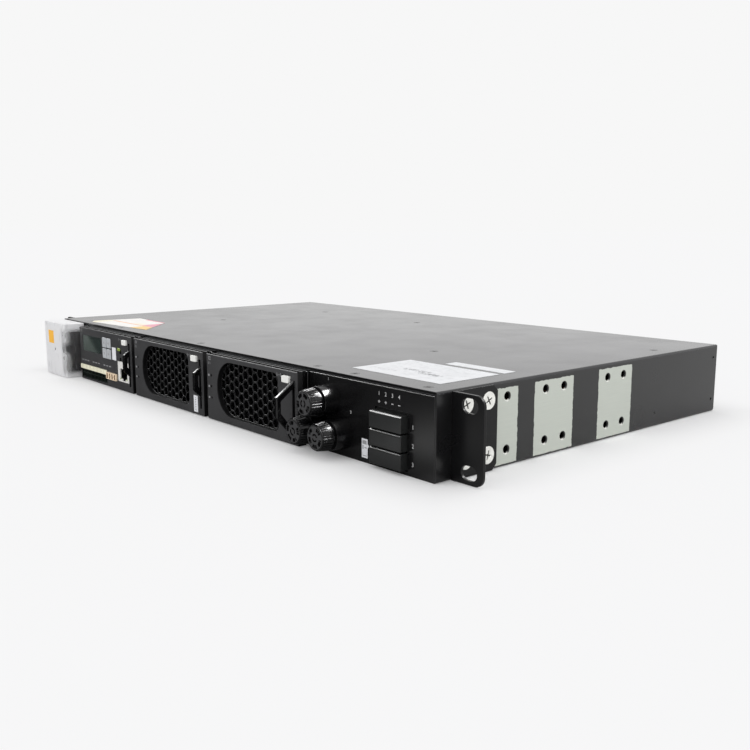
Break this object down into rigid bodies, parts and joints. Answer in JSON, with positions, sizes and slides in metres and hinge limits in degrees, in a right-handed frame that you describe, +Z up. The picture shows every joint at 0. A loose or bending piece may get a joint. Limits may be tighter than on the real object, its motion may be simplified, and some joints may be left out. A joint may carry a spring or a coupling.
{
  "type": "rack power shelf",
  "caption": "Low rack-mount DC power shelf: steel tray with ears, clear-covered mains bay, plug-in controller and rectifiers with fans, fuse holders and plug-in output terminals.",
  "frame": {"origin": "underside of the tray, on the centre line, in the plane where the rack ears' rear faces meet the rails", "axes": "+X to the right seen from the front, +Y to the rear, +Z up"},
  "size_m": [0.4826, 0.2748, 0.0437],
  "materials": {
    "black_paint": "fine matt black powder coat",
    "zinc": "bright zinc plate",
    "black_screw": "black zinc",
    "front_plastic": "fine moulded grain, near black",
    "fuse_plastic": "moulded charcoal",
    "clear_plastic": "clear, slightly frosted",
    "pale_plastic": "off-white moulding",
    "key_plastic": "pale grey keys",
    "display_window": "dark glossy window",
    "case_steel": "plain sheet",
    "copper_bar": "bare copper",
    "circuit_board": "green solder mask",
    "heatsink_metal": "extruded",
    "connector": "cream connector body",
    "socket_plastic": "black connector body",
    "signal_green": "cream strip over dark green",
    "relay_plastic": "pale orange terminal block",
    "fan_plastic": "black fan",
    "label_paper": "white label film",
    "sticker_paper": "printed sticker film"
  },
  "bodies": {
    "shelf": {"tray": "black_paint", "lid": "black_paint", "rear_panel": "black_paint", "ac_panel": "black_paint", "dc_panel": "black_paint", "bay_dividers": "black_paint", "ear_left": "black_paint", "ear_right": "black_paint", "ear_screws": "zinc", "cover_screws": "black_screw", "backplane_board": "circuit_board", "backplane_sockets": "socket_plastic", "positive_bar": "copper_bar", "negative_bar": "copper_bar", "fuse_bases": "fuse_plastic", "terminal_header": "fuse_plastic", "ac_terminal_block": "fuse_plastic", "lid_label": "label_paper", "lid_stickers": "sticker_paper"},
    "controller": {"controller_case": "case_steel", "controller_front": "front_plastic", "controller_board": "circuit_board", "controller_plug": "connector", "display": "display_window", "network_jack": "pale_plastic", "signal_block": "signal_green", "relay_block": "relay_plastic"},
    "rectifier_1": {"rectifier_1_case": "case_steel", "rectifier_1_front": "front_plastic", "rectifier_1_board": "circuit_board", "rectifier_1_heatsink": "heatsink_metal", "rectifier_1_plug": "connector", "rectifier_1_fan_frame": "fan_plastic"},
    "rectifier_2": {"rectifier_2_case": "case_steel", "rectifier_2_front": "front_plastic", "rectifier_2_board": "circuit_board", "rectifier_2_heatsink": "heatsink_metal", "rectifier_2_plug": "connector", "rectifier_2_fan_frame": "fan_plastic"},
    "controller_handle": {"controller_handle": "front_plastic"},
    "controller_latch": {"controller_latch": "pale_plastic"},
    "rectifier_1_handle": {"rectifier_1_handle": "front_plastic"},
    "rectifier_1_latch": {"rectifier_1_latch": "pale_plastic"},
    "rectifier_2_handle": {"rectifier_2_handle": "front_plastic"},
    "rectifier_2_latch": {"rectifier_2_latch": "pale_plastic"},
    "key_up": {"key_up": "key_plastic"},
    "key_down": {"key_down": "key_plastic"},
    "key_back": {"key_back": "key_plastic"},
    "key_enter": {"key_enter": "key_plastic"},
    "rectifier_1_fan_rotor": {"rectifier_1_fan_rotor": "fan_plastic"},
    "rectifier_2_fan_rotor": {"rectifier_2_fan_rotor": "fan_plastic"},
    "fuse_cap_1": {"fuse_cap_1": "fuse_plastic"},
    "fuse_cap_2": {"fuse_cap_2": "fuse_plastic"},
    "fuse_cap_3": {"fuse_cap_3": "fuse_plastic"},
    "terminal_plug_1": {"terminal_plug_1": "fuse_plastic"},
    "terminal_plug_2": {"terminal_plug_2": "fuse_plastic"},
    "terminal_plug_3": {"terminal_plug_3": "fuse_plastic"},
    "ac_cover": {"ac_cover": "clear_plastic"}
  },
  "joints": [
    {"name": "controller_slide", "type": "slide", "parent": "shelf", "child": "controller", "axis": [0, -1, 0], "range_m": [0, 0.215]},
    {"name": "rectifier_1_slide", "type": "slide", "parent": "shelf", "child": "rectifier_1", "axis": [0, -1, 0], "range_m": [0, 0.215]},
    {"name": "rectifier_2_slide", "type": "slide", "parent": "shelf", "child": "rectifier_2", "axis": [0, -1, 0], "range_m": [0, 0.215]},
    {"name": "controller_handle_pull", "type": "slide", "parent": "controller", "child": "controller_handle", "axis": [0, -1, 0], "range_m": [0, 0.007]},
    {"name": "controller_latch_slide", "type": "slide", "parent": "controller", "child": "controller_latch", "axis": [-1, 0, 0], "range_m": [0, 0.002]},
    {"name": "rectifier_1_handle_pull", "type": "slide", "parent": "rectifier_1", "child": "rectifier_1_handle", "axis": [0, -1, 0], "range_m": [0, 0.007]},
    {"name": "rectifier_1_latch_slide", "type": "slide", "parent": "rectifier_1", "child": "rectifier_1_latch", "axis": [-1, 0, 0], "range_m": [0, 0.002]},
    {"name": "rectifier_2_handle_pull", "type": "slide", "parent": "rectifier_2", "child": "rectifier_2_handle", "axis": [0, -1, 0], "range_m": [-0.007, 0]},
    {"name": "rectifier_2_latch_slide", "type": "slide", "parent": "rectifier_2", "child": "rectifier_2_latch", "axis": [-1, 0, 0], "range_m": [0, 0.002]},
    {"name": "key_up_press", "type": "slide", "parent": "controller", "child": "key_up", "axis": [0, 1, 0], "range_m": [0, 0.0006], "stiffness_N_per_m": 600},
    {"name": "key_down_press", "type": "slide", "parent": "controller", "child": "key_down", "axis": [0, 1, 0], "range_m": [0, 0.0006], "stiffness_N_per_m": 600},
    {"name": "key_back_press", "type": "slide", "parent": "controller", "child": "key_back", "axis": [0, 1, 0], "range_m": [0, 0.0006], "stiffness_N_per_m": 600},
    {"name": "key_enter_press", "type": "slide", "parent": "controller", "child": "key_enter", "axis": [0, 1, 0], "range_m": [0, 0.0006], "stiffness_N_per_m": 600},
    {"name": "rectifier_1_fan_spin", "type": "hinge", "parent": "rectifier_1", "child": "rectifier_1_fan_rotor", "pos_m": [-0.029, 0.0042, 0.0214], "axis": [0, -1, 0], "continuous": true},
    {"name": "rectifier_2_fan_spin", "type": "hinge", "parent": "rectifier_2", "child": "rectifier_2_fan_rotor", "pos_m": [0.072, 0.0042, 0.0214], "axis": [0, -1, 0], "continuous": true},
    {"name": "fuse_cap_1_pull", "type": "slide", "parent": "shelf", "child": "fuse_cap_1", "axis": [0, -1, 0], "range_m": [0, 0.036]},
    {"name": "fuse_cap_2_pull", "type": "slide", "parent": "shelf", "child": "fuse_cap_2", "axis": [0, -1, 0], "range_m": [0, 0.036]},
    {"name": "fuse_cap_3_pull", "type": "slide", "parent": "shelf", "child": "fuse_cap_3", "axis": [0, -1, 0], "range_m": [0, 0.036]},
    {"name": "terminal_plug_1_pull", "type": "slide", "parent": "shelf", "child": "terminal_plug_1", "axis": [0, -1, 0], "range_m": [0, 0.022]},
    {"name": "terminal_plug_2_pull", "type": "slide", "parent": "shelf", "child": "terminal_plug_2", "axis": [0, -1, 0], "range_m": [0, 0.022]},
    {"name": "terminal_plug_3_pull", "type": "slide", "parent": "shelf", "child": "terminal_plug_3", "axis": [0, -1, 0], "range_m": [0, 0.022]},
    {"name": "ac_cover_pull", "type": "slide", "parent": "shelf", "child": "ac_cover", "axis": [0, -1, 0], "range_m": [0, 0.03]}
  ]
}
